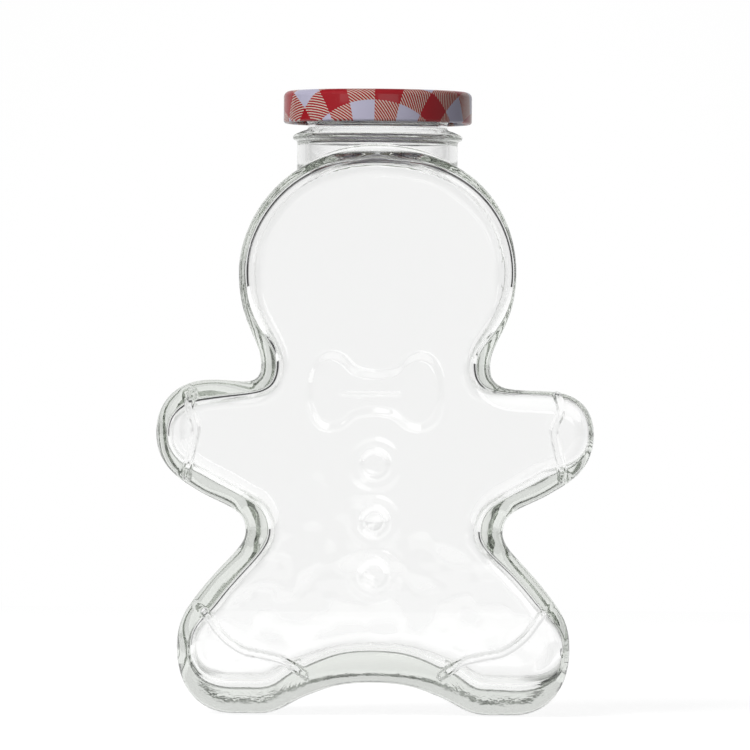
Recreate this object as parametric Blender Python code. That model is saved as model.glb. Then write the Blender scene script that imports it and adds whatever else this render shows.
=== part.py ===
"""Gingerbread man jar: a moulded glass jar, a twist-off tinplate lid and the sealing ring inside it.

Metres, +Z up, the figure facing -Y. The origin lies between the feet, on the surface that the jar stands on.
"""

import math

import bmesh
import bpy
import numpy as np
from mathutils import Matrix, Vector

# Glass body, seen from the front. Half widths are from the centre line, heights from the feet.
HEAD_TOP_Z = 0.1684
HEAD_HALF_WIDTH = 0.0414
HEAD_WIDEST_Z = 0.1311
THROAT_HALF_WIDTH = 0.0339
THROAT_Z = 0.1033
HAND_HALF_WIDTH = 0.0648
HAND_Z = 0.0832
HAND_ROUND = 0.0128
SHOULDER_HALF_WIDTH = HAND_HALF_WIDTH - HAND_ROUND
SHOULDER_Z = 0.0961
LEFT_SHOULDER_RISE = 0.0024
RIGHT_SHOULDER_DEG = -4.0
LEFT_SHOULDER_DEG = -9.0
FOREARM_HALF_WIDTH = HAND_HALF_WIDTH - HAND_ROUND
FOREARM_Z = 0.0658
WAIST_HALF_WIDTH = 0.0381
WAIST_Z = 0.0543
FOOT_HALF_WIDTH = 0.0582
FOOT_WIDEST_Z = 0.0194
SHIN_HALF_WIDTH = FOOT_HALF_WIDTH - 0.0070
SHIN_Z = 0.0366
SOLE_OUTER_X = FOOT_HALF_WIDTH - 0.0168
SOLE_INNER_X = SOLE_OUTER_X - 0.0075
INSTEP_X = 0.0187
INSTEP_Z = 0.0057
CROTCH_Z = 0.0093

# Glass thickness: the hollow lies this far inside the outline at each of those places.
HEAD_WALL = 0.0031
THROAT_WALL = 0.0068
SHOULDER_WALL = 0.0027
HAND_WALL = 0.0045
FOREARM_WALL = 0.0050
WAIST_WALL = 0.0080
SHIN_WALL = 0.0045
FOOT_WALL = 0.0055
SOLE_WALL = 0.0085
INSTEP_WALL = 0.0092
CROTCH_WALL = 0.0110

# Front to back
BODY_DEPTH = 0.0560
FACE_WALL = 0.0030
EDGE_RADIUS = 0.0090
HOLLOW_EDGE_RADIUS = 0.0060

# Lid and seal
LID_RADIUS = 0.0281
LID_HEIGHT = 0.0096
LID_SHEET = 0.0003
LID_CORNER = 0.0018
CHANNEL_WIDTH = 0.0071
PANEL_RADIUS = LID_RADIUS - LID_CORNER - CHANNEL_WIDTH
PANEL_RECESS = 0.0006
CURL_RADIUS = 0.00105
LUG_COUNT = 4
FIRST_LUG_DEG = 45.0
LUG_INNER_RADIUS = LID_RADIUS - 0.0047
LUG_THICKNESS = 0.0012
LUG_SWEEP_DEG = 18.0
RING_THICKNESS = 0.0010
CHANNEL_CLEARANCE = 0.0008
SEAT_GAP = 0.0003
BOND_GAP = 0.00015
LUG_GAP = 0.0003

# Neck and finish, from the top of the head up. Their radii follow from the lid, which they have to fit.
NECK_RADIUS = LID_RADIUS - 0.0041
BORE_RADIUS = LID_RADIUS - 0.0091
BEAD_RADIUS = LID_RADIUS - 0.0026
BEAD_HEIGHT = 0.0046
BEAD_ABOVE_HEAD = 0.0012
THREAD_RADIUS = LID_RADIUS - LID_SHEET - 0.0032
THREAD_THICKNESS = 0.0015
THREAD_SWEEP_DEG = 66.0
THREAD_LEAD_DEG = 3.0
THREAD_RISE = 0.0018
THREAD_ROOT = 0.0006
ROOT_RADIUS = THREAD_RADIUS - 0.0023
GROOVE_RADIUS = ROOT_RADIUS - 0.0007
LIP_ABOVE_HEAD = 0.01505
LIP_ROUND = 0.0008

# Raised figures on the front
BOW_Z = 0.0953
BOW_HALF_WIDTH = 0.0195
BOW_HALF_HEIGHT = 0.0110
BOW_KNOT_HALF_HEIGHT = 0.0054
BOW_RELIEF = 0.0015
BOW_SOFTNESS = 0.0024
BUTTON_RADIUS = 0.0052
BUTTON_RELIEF = 0.0018
BUTTON_ZS = (0.0741, 0.0571, 0.0417)
RIB_RADIUS = 0.0012
RIB_RELIEF = 0.0009
RIB_TAPER = (0.45, 0.8, 1.0)

# Smoothness of the solids
OUTLINE_STEP = 0.0040
EDGE_STEPS = 3
ROUND_SIDES = 56
BUTTON_SIDES = 24
BOW_STEP = 0.0016
RIB_STEPS = 3
RIB_SIDES = 6
THREAD_STEPS = 8
LUG_STEPS = 4

FRONT = -1.0
RAISED_ROOT = 0.4 * FACE_WALL
NECK_FOOT_Z = HEAD_WIDEST_Z + 0.4 * (HEAD_TOP_Z - HEAD_WIDEST_Z)
RING_INNER_RADIUS = PANEL_RADIUS + CHANNEL_CLEARANCE
RING_OUTER_RADIUS = LID_RADIUS - LID_CORNER - CHANNEL_CLEARANCE
LIP_Z = HEAD_TOP_Z + LIP_ABOVE_HEAD
RING_BOTTOM_Z = LIP_Z + SEAT_GAP
LID_INSIDE_Z = RING_BOTTOM_Z + RING_THICKNESS + BOND_GAP
LID_TOP_Z = LID_INSIDE_Z + LID_SHEET
LID_BOTTOM_Z = LID_TOP_Z - LID_HEIGHT
LUG_TOP_Z = LID_BOTTOM_Z + CURL_RADIUS + LUG_THICKNESS / 2


def clear_scene():
    for old in list(bpy.data.objects):
        bpy.data.objects.remove(old, do_unlink=True)


def heading(degrees):
    """Unit step in the front plane, as (across, up)."""
    angle = math.radians(degrees)
    return np.array((math.cos(angle), math.sin(angle)))


def figure_nodes(shoulder_z, shoulder_wall, shoulder_heading):
    """One side of the outline from the crown to the crotch: place, heading, reach in and out, wall."""
    return [
        ((0.0, HEAD_TOP_Z), 0, 0, 0.0244, HEAD_WALL),
        ((HEAD_HALF_WIDTH, HEAD_WIDEST_Z), -90, 0.0206, 0.0161, HEAD_WALL),
        ((THROAT_HALF_WIDTH, THROAT_Z), -90, 0.0079, 0.0082, THROAT_WALL),
        ((SHOULDER_HALF_WIDTH, shoulder_z), shoulder_heading, 0.0100, 0.0088, shoulder_wall),
        ((HAND_HALF_WIDTH, HAND_Z), -90, 0.0074, 0.0106, HAND_WALL),
        ((FOREARM_HALF_WIDTH, FOREARM_Z), -149, 0.0058, 0.0082, FOREARM_WALL),
        ((WAIST_HALF_WIDTH, WAIST_Z), -90, 0.0067, 0.0050, WAIST_WALL),
        ((SHIN_HALF_WIDTH, SHIN_Z), -52, 0.0122, 0.0074, SHIN_WALL),
        ((FOOT_HALF_WIDTH, FOOT_WIDEST_Z), -90, 0.0080, 0.0125, FOOT_WALL),
        ((SOLE_OUTER_X, 0.0), 180, 0.0096, 0.0020, SOLE_WALL),
        ((SOLE_INNER_X, 0.0), 180, 0.0020, 0.0062, SOLE_WALL),
        ((INSTEP_X, INSTEP_Z), 159, 0.0070, 0.0050, INSTEP_WALL),
        ((0.0, CROTCH_Z), 180, 0.0102, 0, CROTCH_WALL),
    ]


def moved_in(nodes):
    """The nodes of the hollow: each outer node moved in by its wall, with its reaches kept in proportion."""
    places = []
    for (x, z), turn, _, _, wall in nodes:
        along = heading(turn)
        places.append(np.array((x, z)) + wall * np.array((along[1], -along[0])))
    spans = [math.dist(a[0], b[0]) for a, b in zip(nodes, nodes[1:])]
    inner = [math.dist(a, b) for a, b in zip(places, places[1:])]
    ratios = [1.0] + [b / a for a, b in zip(spans, inner)] + [1.0]
    return [
        (tuple(place), turn, reach_in * ratios[i], reach_out * ratios[i + 1], wall)
        for i, (place, (_, turn, reach_in, reach_out, wall)) in enumerate(zip(places, nodes))
    ]


def bezier(start, start_pull, end_pull, end, t):
    t = np.asarray(t)[:, None]
    return (
        (1 - t) ** 3 * start
        + 3 * (1 - t) ** 2 * t * start_pull
        + 3 * (1 - t) * t**2 * end_pull
        + t**3 * end
    )


def side_points(nodes, step):
    """Points along one side, as (across, up), from the first node to just short of the last."""
    rows = []
    for (p0, turn0, _, reach0, _), (p1, turn1, reach1, _, _) in zip(nodes, nodes[1:]):
        start, end = np.array(p0), np.array(p1)
        count = max(2, round(math.dist(p0, p1) / step))
        t = np.arange(count) / count
        rows.append(bezier(start, start + reach0 * heading(turn0), end - reach1 * heading(turn1), end, t))
    return np.vstack(rows)


def closed_outline(nodes_right, nodes_left, step):
    """The whole outline, clockwise as seen from the front, and the unit normals that point inward."""
    right = side_points(nodes_right, step)
    left = side_points(nodes_left, step)
    crotch = np.array([nodes_right[-1][0]])
    mirrored = np.vstack((left[1:], crotch)) * (-1, 1)
    loop = np.vstack((right, mirrored[::-1]))
    along = np.roll(loop, -1, axis=0) - np.roll(loop, 1, axis=0)
    along /= np.linalg.norm(along, axis=1)[:, None]
    inward = np.column_stack((along[:, 1], -along[:, 0]))
    return loop, inward


def new_object(name, bm, material):
    mesh = bpy.data.meshes.new(name)
    bm.normal_update()
    bm.to_mesh(mesh)
    bm.free()
    mesh.shade_smooth()
    mesh.set_sharp_from_angle(angle=math.radians(35))
    if material:
        mesh.materials.append(material)
    made = bpy.data.objects.new(name, mesh)
    bpy.context.collection.objects.link(made)
    return made


def skin(bm, rings):
    """Bridge rings of equal length, each a list of points, and cap both ends."""
    made = [[bm.verts.new(p) for p in ring] for ring in rings]
    count = len(made[0])
    for near, far in zip(made, made[1:]):
        for i in range(count):
            j = (i + 1) % count
            bm.faces.new((near[i], near[j], far[j], far[i]))
    bm.faces.new(made[0][::-1])
    bm.faces.new(made[-1])
    bmesh.ops.recalc_face_normals(bm, faces=bm.faces)


def soft_edge(outline, wanted):
    """The edge radius, held under the outline's tightest outward bend so that the rounding can't fold."""
    loop, _ = outline
    back = loop - np.roll(loop, 1, axis=0)
    ahead = np.roll(loop, -1, axis=0) - loop
    turn = back[:, 1] * ahead[:, 0] - back[:, 0] * ahead[:, 1]
    lengths = np.linalg.norm(back, axis=1), np.linalg.norm(ahead, axis=1)
    bend = np.arcsin(np.clip(turn / (lengths[0] * lengths[1]), -1, 1)) * 2 / (lengths[0] + lengths[1])
    return min(wanted, 0.9 / max(float(bend.max()), 1.0))


def slab(name, outline, half_depth, edge_radius, material=None):
    """The outline given its depth, with its front and back edges rounded."""
    loop, inward = outline
    bm = bmesh.new()
    rings = []
    angles = [math.radians(90 * i / EDGE_STEPS) for i in range(EDGE_STEPS + 1)]
    levels = [(-a, -1) for a in angles[::-1]] + [(a, 1) for a in angles]
    for angle, side in levels:
        inset = edge_radius * (1 - math.cos(angle))
        y = side * (half_depth - edge_radius) + edge_radius * math.sin(angle)
        flat = loop + inset * inward
        rings.append([(x, y, z) for x, z in flat])
    skin(bm, rings)
    return new_object(name, bm, material)


def turned(name, profile, material=None, sides=ROUND_SIDES):
    """A solid of revolution about Z. The profile runs from the axis to the axis as (radius, height)."""
    bm = bmesh.new()
    rings = []
    for radius, z in profile[1:-1]:
        turn = [2 * math.pi * i / sides for i in range(sides)]
        rings.append([bm.verts.new((radius * math.cos(a), radius * math.sin(a), z)) for a in turn])
    for near, far in zip(rings, rings[1:]):
        for i in range(sides):
            j = (i + 1) % sides
            bm.faces.new((near[i], near[j], far[j], far[i]))
    for ring, (_, z) in ((rings[0], profile[0]), (rings[-1], profile[-1])):
        middle = bm.verts.new((0, 0, z))
        for i in range(sides):
            bm.faces.new((ring[i], ring[(i + 1) % sides], middle))
    bmesh.ops.recalc_face_normals(bm, faces=bm.faces)
    return new_object(name, bm, material)


def turned_ring(name, section, material):
    """A closed section, as (radius, height), turned about Z."""
    bm = bmesh.new()
    rows = []
    for i in range(ROUND_SIDES):
        a = 2 * math.pi * i / ROUND_SIDES
        rows.append([bm.verts.new((r * math.cos(a), r * math.sin(a), z)) for r, z in section])
    count = len(section)
    for i in range(ROUND_SIDES):
        near, far = rows[i], rows[(i + 1) % ROUND_SIDES]
        for k in range(count):
            m = (k + 1) % count
            bm.faces.new((near[k], near[m], far[m], far[k]))
    bmesh.ops.recalc_face_normals(bm, faces=bm.faces)
    return new_object(name, bm, material)


def arc(centre, radius, start_deg, end_deg, steps):
    """Points on an arc in the (radius, height) plane, both ends included."""
    turn = [math.radians(start_deg + (end_deg - start_deg) * i / steps) for i in range(steps + 1)]
    return [(centre[0] + radius * math.cos(a), centre[1] + radius * math.sin(a)) for a in turn]


def joined(base, others, operation):
    """Apply one exact Boolean of the base with each of the others, and remove the others."""
    for other in others:
        cut = base.modifiers.new(other.name, "BOOLEAN")
        cut.operation = operation
        cut.solver = "EXACT"
        cut.object = other
        bpy.context.view_layer.update()
        result = bpy.data.meshes.new_from_object(
            base.evaluated_get(bpy.context.evaluated_depsgraph_get())
        )
        base.modifiers.remove(cut)
        spent = base.data
        base.data = result
        bpy.data.meshes.remove(spent)
        bpy.data.objects.remove(other, do_unlink=True)
    return base


def surface_y(x, z, outline, half_depth, edge_radius):
    """Distance from the middle plane to the rounded slab's front at a point of the front view."""
    loop, _ = outline
    away = min(edge_radius, float(np.linalg.norm(loop - (x, z), axis=1).min()))
    fall = edge_radius - away
    return half_depth - edge_radius + math.sqrt(max(edge_radius**2 - fall**2, 0.0))


def smooth_path(points, per_span):
    """A Catmull-Rom curve through the points, as an array of (across, up)."""
    p = np.array(points)
    p = np.vstack((2 * p[0] - p[1], p, 2 * p[-1] - p[-2]))
    rows = []
    for i in range(1, len(p) - 2):
        t = (np.arange(per_span) / per_span)[:, None]
        a, b, c, d = p[i - 1], p[i], p[i + 1], p[i + 2]
        square = 2 * a - 5 * b + 4 * c - d
        cube = 3 * b - a - 3 * c + d
        rows.append(0.5 * (2 * b + (c - a) * t + square * t**2 + cube * t**3))
    rows.append(p[-2:-1])
    return np.vstack(rows)


def rib(name, points, outline, edge_radius):
    """A half-round icing line laid on the front of the slab, sunk so that only its relief stands proud."""
    sunk = RIB_RADIUS - RIB_RELIEF
    spine = []
    for x, z in smooth_path(points, RIB_STEPS):
        away = surface_y(x, z, outline, BODY_DEPTH / 2, edge_radius) - sunk
        spine.append(Vector((x, FRONT * away, z)))
    turns = [2 * math.pi * (k + 0.5) / RIB_SIDES for k in range(RIB_SIDES)]
    rings = []
    for i, centre in enumerate(spine):
        along = (spine[min(i + 1, len(spine) - 1)] - spine[max(i - 1, 0)]).normalized()
        across = along.cross(Vector((0, 1, 0))).normalized()
        out = across.cross(along)
        from_end = min(i, len(spine) - 1 - i)
        radius = RIB_RADIUS * RIB_TAPER[min(from_end, len(RIB_TAPER) - 1)]
        rings.append([centre + radius * (math.cos(a) * across + math.sin(a) * out) for a in turns])
    bm = bmesh.new()
    skin(bm, rings)
    return new_object(name, bm, None)


def cuff_points(side):
    """The wavy line across a wrist, top to bottom."""
    steps = (
        (0.0110, 0.0118),
        (0.0100, 0.0072),
        (0.0119, 0.0014),
        (0.0109, -0.0048),
        (0.0096, -0.0102),
        (0.0094, -0.0128),
    )
    return [(side * (HAND_HALF_WIDTH - inward), HAND_Z + up) for inward, up in steps]


def ankle_points(side):
    """The wavy line across an ankle, from the outside of the leg to the crotch."""
    steps = (
        (0.0086, 0.0106),
        (0.0136, 0.0039),
        (0.0196, -0.0004),
        (0.0255, -0.0018),
        (0.0313, -0.0032),
        (0.0353, -0.0054),
        (0.0378, -0.0073),
    )
    return [(side * (FOOT_HALF_WIDTH - inward), FOOT_WIDEST_Z + up) for inward, up in steps]


def bow_outline(step):
    """The bow tie's outline: two round lobes pinched in at the knot."""
    w, h, k = BOW_HALF_WIDTH, BOW_HALF_HEIGHT, BOW_KNOT_HALF_HEIGHT
    right = [
        ((0.0, BOW_Z + k), 0, 0, 0.08 * w, 0),
        ((0.33 * w, BOW_Z + 1.25 * k), 38, 0.08 * w, 0.15 * w, 0),
        ((0.68 * w, BOW_Z + h), 0, 0.18 * w, 0.20 * w, 0),
        ((w, BOW_Z), -90, 0.58 * h, 0.55 * h, 0),
        ((0.68 * w, BOW_Z - 0.93 * h), 180, 0.20 * w, 0.18 * w, 0),
        ((0.33 * w, BOW_Z - 1.25 * k), 142, 0.15 * w, 0.08 * w, 0),
        ((0.0, BOW_Z - k), 180, 0.08 * w, 0, 0),
    ]
    return closed_outline(right, right, step)


def bow_tie():
    """A pillow on the bow's outline, its foot sunk in the front face."""
    loop, inward = bow_outline(BOW_STEP)
    levels = ((-RAISED_ROOT, 0.0), (0.25 * BOW_RELIEF, 0.0))
    levels += ((0.70 * BOW_RELIEF, 0.2 * BOW_SOFTNESS), (0.93 * BOW_RELIEF, 0.55 * BOW_SOFTNESS))
    levels += ((BOW_RELIEF, BOW_SOFTNESS),)
    rings = []
    for up, inset in levels:
        y = FRONT * (BODY_DEPTH / 2 + up)
        rings.append([(x, y, z) for x, z in loop + inset * inward])
    bm = bmesh.new()
    skin(bm, rings)
    return new_object("bow_tie", bm, None)


def button(number, z):
    """A round dome on the front face."""
    rise = BUTTON_RELIEF
    ball = (BUTTON_RADIUS**2 + rise**2) / (2 * rise)
    spread = math.degrees(math.asin(BUTTON_RADIUS / ball))
    dome = arc((0.0, rise - ball), ball, 90 - spread, 90, 4)
    profile = [(0.0, -RAISED_ROOT), (BUTTON_RADIUS, -RAISED_ROOT), *dome[:-1], (0.0, rise)]
    made = turned(f"button_{number}", profile, sides=BUTTON_SIDES)
    made.matrix_world = Matrix.Translation((0, FRONT * BODY_DEPTH / 2, z)) @ Matrix.Rotation(
        math.radians(90), 4, "X"
    )
    return made


def neck_profile():
    """The outside of the neck from inside the head up to the lip: bead, groove, thread root and lip."""
    bead = HEAD_TOP_Z + BEAD_ABOVE_HEAD
    nose = bead + 0.42 * BEAD_HEIGHT
    top = bead + BEAD_HEIGHT
    return [
        (0.0, NECK_FOOT_Z),
        (NECK_RADIUS, NECK_FOOT_Z),
        (NECK_RADIUS, bead),
        ((NECK_RADIUS + 3 * BEAD_RADIUS) / 4, bead + 0.12 * BEAD_HEIGHT),
        (BEAD_RADIUS, nose - 0.12 * BEAD_HEIGHT),
        (BEAD_RADIUS, nose + 0.08 * BEAD_HEIGHT),
        ((GROOVE_RADIUS + 3 * BEAD_RADIUS) / 4, nose + 0.26 * BEAD_HEIGHT),
        ((3 * GROOVE_RADIUS + BEAD_RADIUS) / 4, top - 0.1 * BEAD_HEIGHT),
        (GROOVE_RADIUS, top),
        (GROOVE_RADIUS, LUG_TOP_Z - LUG_THICKNESS),
        (ROOT_RADIUS, LUG_TOP_Z),
        (ROOT_RADIUS, LIP_Z - LIP_ROUND),
        (ROOT_RADIUS - 0.3 * LIP_ROUND, LIP_Z - 0.3 * LIP_ROUND),
        (ROOT_RADIUS - LIP_ROUND, LIP_Z),
        (0.0, LIP_Z),
    ]


def bore_profile():
    """The tool that opens the neck: a straight bore with a rounded mouth."""
    return [
        (0.0, NECK_FOOT_Z),
        (BORE_RADIUS, NECK_FOOT_Z),
        (BORE_RADIUS, LIP_Z - LIP_ROUND),
        (BORE_RADIUS + 0.3 * LIP_ROUND, LIP_Z - 0.3 * LIP_ROUND),
        (BORE_RADIUS + LIP_ROUND, LIP_Z),
        (BORE_RADIUS + LIP_ROUND, LIP_Z + BORE_RADIUS),
        (0.0, LIP_Z + BORE_RADIUS),
    ]


def swept_block(name, inner, outer, start_deg, sweep_deg, low, high, rise, steps):
    """A block bent about Z from start by sweep, between two radii, climbing by rise as it goes."""
    bm = bmesh.new()
    rings = []
    for i in range(steps + 1):
        share = i / steps
        a = math.radians(start_deg + sweep_deg * share)
        bevel = 0.28 * (high - low)
        section = ((inner, low), (outer, low + bevel), (outer, high - bevel), (inner, high))
        rings.append([(r * math.cos(a), r * math.sin(a), z + rise * share) for r, z in section])
    skin(bm, rings)
    return new_object(name, bm, None)


def lug_angles():
    """Where the middle of each lug stands with the lid closed, in degrees."""
    return [FIRST_LUG_DEG + 360 * i / LUG_COUNT for i in range(LUG_COUNT)]


def make_glass_jar(material):
    rise = LEFT_SHOULDER_RISE
    right = figure_nodes(SHOULDER_Z, SHOULDER_WALL, RIGHT_SHOULDER_DEG)
    left = figure_nodes(SHOULDER_Z + rise, SHOULDER_WALL + rise, LEFT_SHOULDER_DEG)
    outside = closed_outline(right, left, OUTLINE_STEP)
    inside = closed_outline(moved_in(right), moved_in(left), OUTLINE_STEP)

    edge = soft_edge(outside, EDGE_RADIUS)
    jar = slab("glass_jar", outside, BODY_DEPTH / 2, edge, material)
    raised = [turned("neck", neck_profile()), bow_tie()]
    raised += [button(i + 1, z) for i, z in enumerate(BUTTON_ZS)]
    for side in (-1, 1):
        raised.append(rib(f"cuff_{side}", cuff_points(side), outside, edge))
        raised.append(rib(f"ankle_{side}", ankle_points(side), outside, edge))
    thread_low = LUG_TOP_Z + LUG_GAP
    ahead = LUG_SWEEP_DEG / 2 + THREAD_LEAD_DEG
    for i, middle in enumerate(lug_angles()):
        raised.append(
            swept_block(
                f"thread_{i}",
                ROOT_RADIUS - THREAD_ROOT,
                THREAD_RADIUS,
                middle - ahead,
                THREAD_SWEEP_DEG,
                thread_low,
                thread_low + THREAD_THICKNESS,
                THREAD_RISE,
                THREAD_STEPS,
            )
        )
    joined(jar, raised, "UNION")
    hollow = slab("hollow", inside, BODY_DEPTH / 2 - FACE_WALL, soft_edge(inside, HOLLOW_EDGE_RADIUS))
    joined(jar, [hollow, turned("bore", bore_profile())], "DIFFERENCE")
    return jar


def lid_section():
    """The section of the sheet, from the axis out to the curl and back, as (radius, height in the lid)."""
    top, sheet = LID_HEIGHT, LID_SHEET
    recess = top - PANEL_RECESS
    outer_corner = arc((LID_RADIUS - LID_CORNER, top - LID_CORNER), LID_CORNER, 90, 0, 3)
    inner_corner = arc((LID_RADIUS - LID_CORNER, top - LID_CORNER), LID_CORNER - sheet, 0, 90, 3)
    roll = (LID_RADIUS - CURL_RADIUS, CURL_RADIUS)
    outside = [
        (0.0, recess),
        (PANEL_RADIUS - PANEL_RECESS, recess),
        (PANEL_RADIUS, top),
        *outer_corner,
        *arc(roll, CURL_RADIUS, 0, -280, 8),
    ]
    inside = [
        (LID_RADIUS - sheet, 2.2 * CURL_RADIUS),
        *inner_corner,
        (PANEL_RADIUS + 0.2 * PANEL_RECESS, top - sheet),
        (PANEL_RADIUS - 0.8 * PANEL_RECESS, recess - sheet),
        (0.0, recess - sheet),
    ]
    return outside + inside


def make_lid(material):
    lid = turned("lid", lid_section(), material)
    middle = LUG_TOP_Z - LUG_THICKNESS / 2 - LID_BOTTOM_Z
    lugs = [
        swept_block(
            f"lug_{i}",
            LID_RADIUS - CURL_RADIUS,
            LUG_INNER_RADIUS,
            angle - LUG_SWEEP_DEG / 2,
            LUG_SWEEP_DEG,
            middle - LUG_THICKNESS / 2,
            middle + LUG_THICKNESS / 2,
            0.0,
            LUG_STEPS,
        )
        for i, angle in enumerate(lug_angles())
    ]
    joined(lid, lugs, "UNION")
    lid.location = (0, 0, LID_BOTTOM_Z)
    return lid


def make_sealing_ring(material):
    low, high = 0.0, RING_THICKNESS
    soft = 0.3 * RING_THICKNESS
    section = [
        (RING_INNER_RADIUS, high),
        (RING_INNER_RADIUS, low + soft),
        (RING_INNER_RADIUS + soft, low),
        (RING_OUTER_RADIUS - soft, low),
        (RING_OUTER_RADIUS, low + soft),
        (RING_OUTER_RADIUS, high),
    ]
    ring = turned_ring("sealing_ring", section, material)
    ring.location = (0, 0, RING_BOTTOM_Z)
    return ring


def make_material(name, colour, roughness, metallic=0.0, transmission=0.0):
    material = bpy.data.materials.new(name)
    material.use_nodes = True
    shader = material.node_tree.nodes["Principled BSDF"]
    shader.inputs["Base Color"].default_value = (*colour, 1.0)
    shader.inputs["Roughness"].default_value = roughness
    shader.inputs["Metallic"].default_value = metallic
    shader.inputs["Transmission Weight"].default_value = transmission
    return material


def main():
    clear_scene()
    make_glass_jar(make_material("clear_glass", (0.93, 0.95, 0.94), 0.02, transmission=1.0))
    make_lid(make_material("printed_tinplate", (0.60, 0.04, 0.06), 0.3))
    make_sealing_ring(make_material("sealing_compound", (0.80, 0.78, 0.72), 0.5))


main()
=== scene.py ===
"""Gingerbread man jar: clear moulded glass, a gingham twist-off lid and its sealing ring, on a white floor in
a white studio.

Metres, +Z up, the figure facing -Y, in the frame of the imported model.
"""

import math

import bmesh
import bpy
import numpy as np
from bpy.props import FloatProperty, FloatVectorProperty, IntProperty, PointerProperty
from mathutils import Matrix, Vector, kdtree


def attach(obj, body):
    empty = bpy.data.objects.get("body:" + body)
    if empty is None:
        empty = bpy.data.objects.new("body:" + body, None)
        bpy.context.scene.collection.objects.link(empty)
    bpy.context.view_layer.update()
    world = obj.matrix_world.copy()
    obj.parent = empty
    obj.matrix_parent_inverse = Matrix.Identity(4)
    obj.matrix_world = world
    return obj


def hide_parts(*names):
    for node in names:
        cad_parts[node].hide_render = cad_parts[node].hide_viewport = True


bl_info = {
    "name": "Gingerbread man jar",
    "version": (1, 0, 0),
    "blender": (4, 5, 0),
    "location": "View3D > Sidebar > Jar",
    "description": "Builds a gingerbread man jar in clear glass with a printed twist-off lid",
    "category": "Add Mesh",
}

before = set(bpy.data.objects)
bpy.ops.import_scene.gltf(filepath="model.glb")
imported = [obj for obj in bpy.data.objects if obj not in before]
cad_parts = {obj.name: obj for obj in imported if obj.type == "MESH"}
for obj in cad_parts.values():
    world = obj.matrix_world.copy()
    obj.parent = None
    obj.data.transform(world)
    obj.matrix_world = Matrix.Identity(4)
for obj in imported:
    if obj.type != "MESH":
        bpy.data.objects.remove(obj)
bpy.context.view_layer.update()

# The figure's outline, in metres: half widths from the centre line and heights above the feet
HEAD_TOP_Z = 0.1676
HEAD_HALF_WIDTH = 0.0414
HEAD_WIDEST_Z = 0.1311
THROAT_HALF_WIDTH = 0.0339
THROAT_Z = 0.1033
SHOULDER_HALF_WIDTH = 0.0520
SHOULDER_Z = 0.0961
LEFT_SHOULDER_RISE = 0.0024
HAND_HALF_WIDTH = 0.0648
HAND_Z = 0.0832
FOREARM_HALF_WIDTH = 0.0520
FOREARM_Z = 0.0658
WAIST_HALF_WIDTH = 0.0381
WAIST_Z = 0.0543
SHIN_HALF_WIDTH = 0.0512
SHIN_Z = 0.0366
FOOT_HALF_WIDTH = 0.0582
FOOT_WIDEST_Z = 0.0194
SOLE_OUTER_X = 0.0414
SOLE_INNER_X = 0.0339
INSTEP_X = 0.0187
INSTEP_Z = 0.0057
CROTCH_Z = 0.0093

# The head's left side falls away sooner from the crown than its right, and is a little narrower
RIGHT_CROWN_REACH = 0.0330
LEFT_CROWN_REACH = 0.0290
LEFT_HEAD_NARROWING = 0.0007
RIGHT_SHOULDER_DEG = -4
LEFT_SHOULDER_DEG = -9

# The glass wall at each node of the outline, crown to crotch
RIGHT_WALLS = (
    *(0.0029, 0.0018, 0.0043, 0.0016, 0.0018, 0.0054, 0.0067),
    *(0.0046, 0.0019, 0.0078, 0.0080, 0.0085, 0.0095),
)
LEFT_WALLS = (
    *(0.0029, 0.0026, 0.0046, 0.0053, 0.0039, 0.0053, 0.0068),
    *(0.0060, 0.0043, 0.0080, 0.0080, 0.0085, 0.0095),
)

# How the outer edge and the hollow's edge change with height, and how far front and back reach in
HEAD_SHARPENING = 0.0038
SHARPENING_Z = 0.070
SHARPENING_SPAN = 0.055
BASE_FULLNESS = 0.0028
BACK_BASE_SHARPENING = 0.0012
FULLNESS_Z = 0.032
FULLNESS_SPAN = 0.020
HEAD_ROUNDING = 0.0002
HEAD_ROUNDING_Z = 0.098
HEAD_ROUNDING_SPAN = 0.020
BASE_ROUNDING = 0.0030
BASE_ROUNDING_RATE = 1.3
BASE_TOP_Z = 0.0300
FACE_REACH = 0.012
FACE_SPAN = 0.006

# The front's relief: bow tie, knot ridge, buttons, nub and icing lines
BOW_Z = 0.0953
BOW_HALF_WIDTH = 0.0195
BOW_HALF_HEIGHT = 0.0110
BOW_KNOT_HALF_HEIGHT = 0.0054
BUTTON_RADIUS = 0.0052
BUTTON_ZS = (0.0741, 0.0571, 0.0417)
NUB_RADIUS = 0.0026
NUB_HEIGHT = 0.0020
RIDGE_PLACE = (-0.0015, 0.0950)
RIDGE_HALF_LENGTH = 0.0096
RIDGE_HALF_WIDTH = 0.0008
RIDGE_FADE = 0.0020
RIDGE_HEIGHT = 0.00018
RIB_HALF_WIDTH = 0.0015
BOW_SLOPE = 0.0034
BUTTON_SLOPE = 0.45
RING_SHARE = 0.15
RING_SPREAD = 1.7
RING_SLOPE = 0.25
NUB_POWER = 0.9
RIB_SLOPE = 0.65
RIB_MARGIN = 0.004
RELIEF_INSIDE_SHARE = 0.35
CUFF_STEPS = (
    (0.0110, 0.0118),
    (0.0100, 0.0072),
    (0.0119, 0.0014),
    (0.0109, -0.0048),
    (0.0096, -0.0102),
    (0.0094, -0.0128),
)
ANKLE_STEPS = (
    (0.0086, 0.0106),
    (0.0136, 0.0039),
    (0.0196, -0.0004),
    (0.0255, -0.0018),
    (0.0313, -0.0032),
    (0.0353, -0.0054),
    (0.0378, -0.0073),
)

# The ripple that blowing leaves: its seed, its width, and how it dies away above the waist
RIPPLE_SEED = 11
RIPPLE_WIDTH = 0.0030
RIPPLE_LOSS = 0.7
RIPPLE_LOSS_Z = 0.050
RIPPLE_LOSS_SPAN = 0.060

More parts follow.
